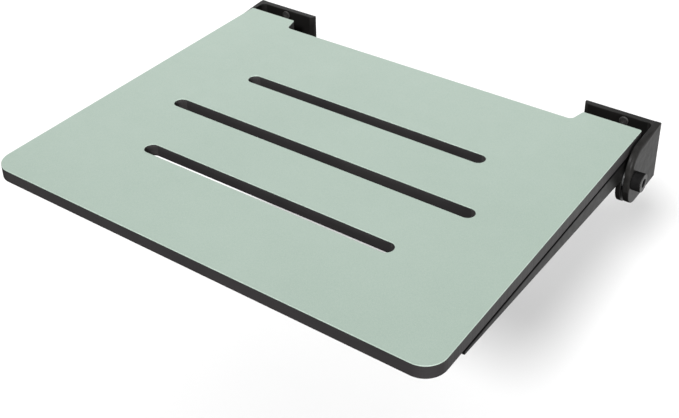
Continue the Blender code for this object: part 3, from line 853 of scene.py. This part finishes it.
def wall_plate_outline():
    """(x, y) of the wall plate with the fillet that runs into the cheek."""
    inner_x = BRACKET_HIGH.x - CHEEK_THICKNESS
    bury = inner_x + PLATE_BURY
    free_end = [
        ((BRACKET_LOW.x, 0.0), PLATE_BACK_R),
        ((BRACKET_LOW.x, -PLATE_THICKNESS), PLATE_END_R),
        ((bury, -PLATE_THICKNESS), 0.0),
        ((bury, 0.0), 0.0),
    ]
    outline = rounded(free_end, 12)
    r = INNER_FILLET_R
    fillet = arc((inner_x - r, -PLATE_THICKNESS - r), r, 90.0, 0.0, 16)
    fillet.append((bury, -PLATE_THICKNESS - r))
    return outline[:-2] + fillet + outline[-1:]


def wall_screw_place(side_name, label):
    """Distance from the middle, height and head radius of a wall screw, from the frame."""
    low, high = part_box("wall_screw_" + side_name + "_" + label)
    return abs(low.x + high.x) / 2.0, (low.z + high.z) / 2.0, (high.x - low.x) / 2.0


def hole_cutter(x, z):
    """Clearance hole through the wall plate, flared where it meets the wall."""
    r = WALL_SCREW_HOLE_R
    start, end = HOLE_CUTTER
    profile = [(start, r), (-HOLE_FLARE, r), (end, r + HOLE_FLARE + end)]
    return lathe(profile, (x, z), "Y", 40)


def build_bracket(side_name, mat):
    bm = build_cheek()
    low, high = BRACKET_LOW.z, BRACKET_HIGH.z
    wall_plate = prism(wall_plate_outline(), low, high, along_z, edge=COAT_EDGE_R)
    bm = boolean(bm, wall_plate, "UNION")
    for label in WALL_SCREWS:
        x, z, _ = wall_screw_place(side_name, label)
        bm = boolean(bm, hole_cutter(x, z), "DIFFERENCE")
    bm = boolean(bm, hinge_bore(), "DIFFERENCE")
    side_piece("wall_bracket", bm, mat, "wall_brackets", "bracket", side_name)


# ---------------------------------------------------------------- arms
def arm_profile():
    """(y, z) outline of the web: taper, tail below the hinge, leaning rear shoulder."""
    front_low = ARM_HIGH.z - FRONT_DEPTH
    root_z = front_low + BOTTOM_SLOPE * (TAIL_FRONT_Y - ARM_LOW.y)
    corners = [
        ((ARM_LOW.y, front_low), TIP_R),
        ((TAIL_FRONT_Y, root_z), TAIL_CORNER_R),
        ((TAIL_FRONT_Y, ARM_LOW.z), TAIL_NOSE_R),
        ((ARM_HIGH.y, ARM_LOW.z), TAIL_CORNER_R),
        ((ARM_HIGH.y, TAIL_REAR_TOP_Z), TAIL_CORNER_R),
        (TAIL_SHOULDER, TAIL_SHOULDER_R),
        ((TAIL_TOP_Y, ARM_HIGH.z), TAIL_CORNER_R),
        ((ARM_LOW.y, ARM_HIGH.z), 0.0),
    ]
    return rounded(corners, 14)


def flange(inner_x):
    """Flat bar under the board, run a little way into the web."""
    bury = inner_x + FLANGE_BURY
    corners = [
        ((ARM_LOW.x, FLANGE_Y[0]), FLANGE_CORNER_R),
        ((bury, FLANGE_Y[0]), 0.0),
        ((bury, FLANGE_Y[1]), 0.0),
        ((ARM_LOW.x, FLANGE_Y[1]), FLANGE_CORNER_R),
    ]
    low = ARM_HIGH.z - FLANGE_THICKNESS
    return prism(rounded(corners, 12), low, ARM_HIGH.z, along_z, edge=FLANGE_EDGE_R)


def flange_fillet(inner_x):
    """Fillet under the flange, along the inside of the web."""
    r = FLANGE_FILLET_R
    low = ARM_HIGH.z - FLANGE_THICKNESS
    past_x, past_z = inner_x + FILLET_BURY, low + FILLET_BURY
    shape = arc((inner_x - r, low - r), r, 0.0, 90.0, 8)
    shape += [(inner_x - r, past_z), (past_x, past_z), (past_x, low - r)]
    return prism(shape, FLANGE_Y[0] + FILLET_BURY, FLANGE_Y[1] - FILLET_BURY, along_y)


def bend_cutter(outer_x):
    """Rounds the bend along the upper outer edge of the web."""
    b = BEND_R
    past_x, past_z = outer_x + OVERCUT, ARM_HIGH.z + OVERCUT
    shape = arc((outer_x - b, ARM_HIGH.z - b), b, 0.0, 90.0, 12)
    shape += [(outer_x - b, past_z), (past_x, past_z), (past_x, ARM_HIGH.z - b)]
    return prism(shape, ARM_LOW.y - 2.0 * OVERCUT, 0.0, along_y)


def tail_cutter(outer_x):
    """Takes off the corner of the tail that would meet the fillet of the bracket."""
    c = TAIL_REAR_CHAMFER
    rear = ARM_HIGH.y
    shape = [(outer_x - c, rear + OVERCUT), (outer_x + OVERCUT, rear + OVERCUT)]
    shape += [(outer_x + OVERCUT, rear - c - OVERCUT), (outer_x - c, rear)]
    return prism(shape, TAIL_CUTTER_Z[0], TAIL_CUTTER_Z[1], along_z)


def build_arm(side_name, mat):
    outer_x = ARM_HIGH.x
    inner_x = outer_x - WEB_THICKNESS
    bm = prism(arm_profile(), inner_x, outer_x, along_x, edge=COAT_EDGE_R)
    bm = boolean(bm, flange(inner_x), "UNION")
    bm = boolean(bm, flange_fillet(inner_x), "UNION")
    for label in SEAT_SCREWS:
        screw_low, screw_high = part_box("seat_screw_right_" + label)
        middle = (screw_low + screw_high) / 2.0
        hole = screw_bore((middle.x, middle.y), FLANGE_CUTTER_Z[0], FLANGE_CUTTER_Z[1])
        bm = boolean(bm, hole, "DIFFERENCE")
    for cutter in (hinge_bore(), bend_cutter(outer_x), tail_cutter(outer_x)):
        bm = boolean(bm, cutter, "DIFFERENCE")
    side_piece("arm", bm, mat, "seat", "arm", side_name)


# ---------------------------------------------------------------- hinge hardware
def thread_profile(share):
    """Height of a 60 degree thread, 0 at the root and 1 at the crest."""
    share = share % 1.0
    return max(0.0, min(1.0, THREAD_CREST - abs(share - 0.5) * THREAD_STEEPNESS))


def threaded_tip(start, end, segments=72):
    """Rod along the hinge axis whose surface is a helical thread, tip chamfered."""
    rows = int(math.ceil((end - start) / THREAD_PITCH * THREAD_ROWS))
    bm = bmesh.new()
    rings = []
    for k in range(rows + 1):
        x = start + (end - start) * k / rows
        ring = []
        for i in range(segments):
            turn = i / segments
            crest = SHANK_R - THREAD_DEPTH * (1.0 - thread_profile(x / THREAD_PITCH - turn))
            radius = min(crest, SHANK_R - THREAD_CHAMFER + (x - start))
            ring.append(bm.verts.new(turned("X", AXIS_YZ, x, radius, 2.0 * math.pi * turn)))
        rings.append(ring)
    skin(bm, rings)
    bm.faces.new(rings[0])
    bm.faces.new(rings[-1])
    return face_out(bm)


def hex_socket(bm, centre, across, turn, face, depth, place, axis, toward):
    """Cut a hexagon recess; toward is +1 or -1, the way the face looks along its axis."""
    floor = face - toward * depth
    corner = across / math.sqrt(3.0)
    reach = face + toward * 2.0 * OVERCUT
    tool = prism(hexagon(centre, across, turn), min(floor, reach), max(floor, reach), place)
    bm = boolean(bm, tool, "DIFFERENCE")
    lead = corner * SOCKET_LEAD
    cone = [
        (face - toward * lead, corner - lead),
        (face + toward * SOCKET_LEAD_OUT, corner + SOCKET_LEAD_OUT),
    ]
    bm = boolean(bm, lathe(cone, centre, axis, 60), "DIFFERENCE")
    point, tip, rim = DRILL_POINT
    drill = [
        (floor - toward * across * point, across * tip),
        (floor + toward * HAIR, across * rim),
    ]
    return boolean(bm, lathe(drill, centre, axis, 48), "DIFFERENCE")


def build_bolt(side_name, mat):
    end = BOLT_HIGH.x
    seat = end - HEAD_LENGTH
    radius = (BOLT_HIGH.y - BOLT_LOW.y) / 2.0
    shank = SHANK_R - HAIR
    into_nut, thread_end = THREAD_OVERLAP
    profile = [(NUT_LOW.x + into_nut, shank), (seat, shank)]
    profile += arc((seat + HEAD_UNDER_R, radius - HEAD_UNDER_R), HEAD_UNDER_R, 180.0, 90.0, 4)
    profile += arc((end - HEAD_ARRIS, radius - HEAD_ARRIS), HEAD_ARRIS, 90.0, 0.0, 6)
    bm = lathe(profile, AXIS_YZ, "X", 96)
    bm = boolean(bm, threaded_tip(BOLT_LOW.x, NUT_LOW.x + thread_end), "UNION")
    bm = hex_socket(bm, AXIS_YZ, SOCKET_AF, 30.0, end, SOCKET_DEPTH, along_x, "X", 1.0)
    side_piece("hinge_bolt", bm, mat, "wall_brackets", "hinge_bolt", side_name)


def washer(low, high, edge):
    """Flat washer about the hinge axis, all four rims rounded."""
    r0 = SHANK_R + CLEARANCE
    r1 = (high.y - low.y) / 2.0
    a, b = low.x, high.x
    profile = arc((a + edge, r0 + edge), edge, 270.0, 180.0, 4)
    profile += arc((a + edge, r1 - edge), edge, 180.0, 90.0, 4)
    profile += arc((b - edge, r1 - edge), edge, 90.0, 0.0, 4)
    profile += arc((b - edge, r0 + edge), edge, 360.0, 270.0, 4)
    return lathe(profile, AXIS_YZ, "X", 80, closed=True)


def build_washers(side_name, plastic, steel):
    for name, box, edge, mat, slot in (
        ("spacer_washer", (SPACER_LOW, SPACER_HIGH), 0.0005, plastic, "spacer_plastic"),
        ("nut_washer", (NUT_WASHER_LOW, NUT_WASHER_HIGH), 0.0003, steel, "nut_steel"),
    ):
        bm = washer(box[0], box[1], edge)
        side_piece(name, bm, mat, "wall_brackets", name, side_name)


def build_nut(side_name, steel):
    """Hexagon nut: corners chamfered on both faces, countersunk thread."""
    a, b = NUT_LOW.x, NUT_HIGH.x
    corner = NUT_AF / math.sqrt(3.0)
    face = NUT_AF * NUT_FACE
    cut = (corner - face) * math.tan(math.radians(30.0))
    past = 2.0 * HAIR
    wide = corner + 2.0 * past
    bm = prism(hexagon(AXIS_YZ, NUT_AF, 30.0), a, b, along_x)
    profile = [
        (a, face),
        (a + cut, corner + 0.00001),
        (a + cut + past, wide),
        (b - cut - past, wide),
        (b - cut, corner + 0.00001),
        (b, face),
    ]
    bm = boolean(bm, lathe(profile, AXIS_YZ, "X", 90), "INTERSECT")
    r = SHANK_R + HAIR
    mouth = r + NUT_SINK + past
    bore = [(a - past, mouth), (a + NUT_SINK, r), (b - NUT_SINK, r), (b + past, mouth)]
    bm = boolean(bm, lathe(bore, AXIS_YZ, "X", 72), "DIFFERENCE")
    side_piece("hinge_nut", bm, steel, "wall_brackets", "hinge_nut", side_name)


# ---------------------------------------------------------------- screws
def button_head(face, toward, radius, height, steps=10):
    """Domed head profile from its rim under the face to the small flat on top."""
    rim = BUTTON_RIM
    points = [(face, radius - 2.0 * HAIR), (face + toward * HAIR, radius)]
    points.append((face + toward * rim, radius))
    for i in range(1, steps + 1):
        a = BUTTON_ARC * i / steps
        rise = (height - rim) * math.sin(a) / math.sin(BUTTON_ARC)
        points.append((face + toward * (rim + rise), radius * (0.45 + 0.55 * math.cos(a))))
    return points


def build_wall_screw(side_name, label, mat):
    node = "wall_screw_" + side_name + "_" + label
    low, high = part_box(node)
    x, z, radius = wall_screw_place(side_name, label)
    face = -PLATE_THICKNESS
    r = WALL_SCREW_R
    profile = [(high.y, r - WALL_TIP), (high.y - WALL_TIP, r), (face, r)]
    profile.append((face, radius - WALL_HEAD_UNDER))
    profile += arc((low.y + WALL_HEAD_R, radius - WALL_HEAD_R), WALL_HEAD_R, 90.0, 180.0, 5)
    bm = lathe(profile, (x, z), "Y", 64)
    bm = hex_socket(bm, (x, z), WALL_SCREW_AF, 0.0, low.y, WALL_SOCKET_DEPTH, along_y, "Y", -1.0)
    name = side_name + "_wall_screw_" + label
    piece(name, mirror(bm, side_name), mat, "wall_brackets", node)


def build_seat_screw(side_name, label, mat):
    low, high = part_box("seat_screw_right_" + label)
    centre = ((low.x + high.x) / 2.0, (low.y + high.y) / 2.0)
    radius = (high.x - low.x) / 2.0
    face = ARM_HIGH.z - FLANGE_THICKNESS
    r = SEAT_SCREW_R
    profile = [(high.z, r * SEAT_TIP[1]), (high.z - SEAT_TIP[0], r), (face, r)]
    profile += button_head(face, -1.0, radius, face - low.z)
    bm = lathe(profile, centre, "Z", 64)
    bm = hex_socket(bm, centre, SEAT_SCREW_AF, 0.0, low.z, SEAT_SOCKET_DEPTH, along_z, "Z", -1.0)
    name = side_name + "_seat_screw_" + label
    node = "seat_screw_" + side_name + "_" + label
    piece(name, mirror(bm, side_name), mat, "seat", node)


# ---------------------------------------------------------------- setting
CAMERA_PLACE = (0.51127, -0.89727, 0.60295)
CAMERA_AZIMUTH = 35.625       # from the front (-Y) toward the right (+X)
CAMERA_ELEVATION = 30.321
CAMERA_ROLL = -1.099
LENS = 59.717                 # millimetres, on a sensor 36 mm wide
LENS_SHIFT = (-0.0004, -0.1882)
FLOOR_Z = -0.300
FLOOR_SIZE = 6.0


def add_camera():
    """Camera at the right front, above, slightly rolled."""
    azimuth = math.radians(CAMERA_AZIMUTH)
    elevation = math.radians(CAMERA_ELEVATION)
    roll = math.radians(CAMERA_ROLL)
    back = Vector((
        math.sin(azimuth) * math.cos(elevation),
        -math.cos(azimuth) * math.cos(elevation),
        math.sin(elevation),
    ))
    across = Vector((0.0, 0.0, 1.0)).cross(back).normalized()
    upward = back.cross(across)
    x_axis = across * math.cos(roll) + upward * math.sin(roll)
    y_axis = upward * math.cos(roll) - across * math.sin(roll)
    data = bpy.data.cameras.new("camera")
    data.sensor_width = 36.0
    data.lens = LENS
    data.shift_x, data.shift_y = LENS_SHIFT
    data.clip_start = 0.01
    data.clip_end = 50.0
    camera = bpy.data.objects.new("camera", data)
    matrix = Matrix((x_axis, y_axis, back)).transposed().to_4x4()
    matrix.translation = Vector(CAMERA_PLACE)
    camera.matrix_world = matrix
    bpy.context.scene.collection.objects.link(camera)
    bpy.context.scene.camera = camera


def add_floor():
    """Plain pale floor; it takes shadows, and neither lights nor shows in the object."""
    mesh = bpy.data.meshes.new("floor")
    bm = bmesh.new()
    bmesh.ops.create_grid(bm, x_segments=8, y_segments=8, size=FLOOR_SIZE)
    bmesh.ops.translate(bm, verts=bm.verts, vec=(0.0, 0.0, FLOOR_Z))
    bm.to_mesh(mesh)
    bm.free()
    s = Shader("floor_paint", 0.9, Emission_Strength=0.08)
    s.colour(s.mix(s.range(s.noise(3.0), 0.0, 1.0), (0.70, 0.70, 0.70), (0.71, 0.71, 0.71)))
    mesh.materials.append(s.mat)
    floor = bpy.data.objects.new("floor", mesh)
    floor.visible_glossy = False
    floor.visible_diffuse = False
    floor.visible_shadow = False
    bpy.context.scene.collection.objects.link(floor)


def add_far_light(name, azimuth, elevation, spread, strength):
    """Distant soft light; azimuth turns from the front (-Y) toward the right (+X)."""
    data = bpy.data.lights.new(name, "SUN")
    data.angle = math.radians(spread)
    data.energy = strength
    a, e = math.radians(azimuth), math.radians(elevation)
    toward = Vector((math.sin(a) * math.cos(e), -math.cos(a) * math.cos(e), math.sin(e)))
    lamp = bpy.data.objects.new(name, data)
    lamp.location = toward * 3.0
    lamp.rotation_mode = "QUATERNION"
    lamp.rotation_quaternion = (-toward).to_track_quat("-Z", "Y")
    bpy.context.scene.collection.objects.link(lamp)


def add_card(name, place, target, size, radiance):
    """Square reflector whose surface shines with the given radiance."""
    data = bpy.data.lights.new(name, "AREA")
    data.shape = "SQUARE"
    data.size = size
    data.energy = radiance * math.pi * size * size
    lamp = bpy.data.objects.new(name, data)
    lamp.location = place
    lamp.rotation_mode = "QUATERNION"
    lamp.rotation_quaternion = (Vector(target) - Vector(place)).to_track_quat("-Z", "Y")
    lamp.visible_camera = False
    bpy.context.scene.collection.objects.link(lamp)


HORIZON = (-0.10, 0.15)       # the sky brightens between these slopes of the view


def add_world(above, below):
    """Even light from above the horizon, almost none from below it."""
    world = bpy.data.worlds.new("studio")
    world.use_nodes = True
    nodes = world.node_tree.nodes
    links = world.node_tree.links
    background = nodes["Background"]
    background.inputs["Color"].default_value = (1.0, 1.0, 1.0, 1.0)
    split = nodes.new("ShaderNodeSeparateXYZ")
    links.new(nodes.new("ShaderNodeTexCoord").outputs["Generated"], split.inputs["Vector"])
    blend = nodes.new("ShaderNodeMapRange")
    blend.inputs["From Min"].default_value = HORIZON[0]
    blend.inputs["From Max"].default_value = HORIZON[1]
    blend.inputs["To Min"].default_value = below
    blend.inputs["To Max"].default_value = above
    links.new(split.outputs["Z"], blend.inputs["Value"])
    links.new(blend.outputs["Result"], background.inputs["Strength"])
    bpy.context.scene.world = world


# ---------------------------------------------------------------- build
add_camera()
add_floor()
add_world(above=0.55, below=0.03)
add_far_light("overhead", azimuth=20.0, elevation=80.0, spread=50.0, strength=0.15)
add_far_light("key", azimuth=12.0, elevation=41.0, spread=10.5, strength=3.2)
add_far_light("right_side", azimuth=62.0, elevation=5.0, spread=14.0, strength=3.0)
add_card("right_card", place=(0.80, 0.66, -0.52), target=(0.24, -0.12, 0.0), size=1.1, radiance=1.12)
add_card("rear_card", place=(-1.30, 1.50, 1.30), target=(0.0, -0.20, 0.03), size=2.4, radiance=1.1)

build_board()
for side_name, side in SIDES:
    tag = "_" + side_name
    build_bracket(side_name, powder_coat("bracket_coating" + tag, seed=0.31 * side))
    # The arms' coat carries a painted shade along the bend under the board's edge.
    coat = powder_coat("arm_coating" + tag, seed=0.77 * side, shade_height=ARM_HIGH.z - BEND_R)
    build_arm(side_name, coat)
    build_bolt(side_name, black_steel("bolt_finish" + tag, AXIS_YZ, BOLT_HIGH.x))
    steel = bright_steel("nut_steel" + tag, NUT_COLOUR, 0.34, streak=STREAK_ACROSS_X)
    build_washers(side_name, nylon("spacer_plastic" + tag), steel)
    build_nut(side_name, steel)
    plated = dark_screw("wall_screw_finish" + tag)
    for label in WALL_SCREWS:
        build_wall_screw(side_name, label, plated)
    stainless = bright_steel("seat_screw_steel" + tag, STAINLESS_COLOUR, 0.28, streak=STREAK_ACROSS_Z)
    for label in SEAT_SCREWS:
        build_seat_screw(side_name, label, stainless)

bpy.context.scene.view_settings.view_transform = "Standard"
bpy.context.scene.view_settings.look = "None"
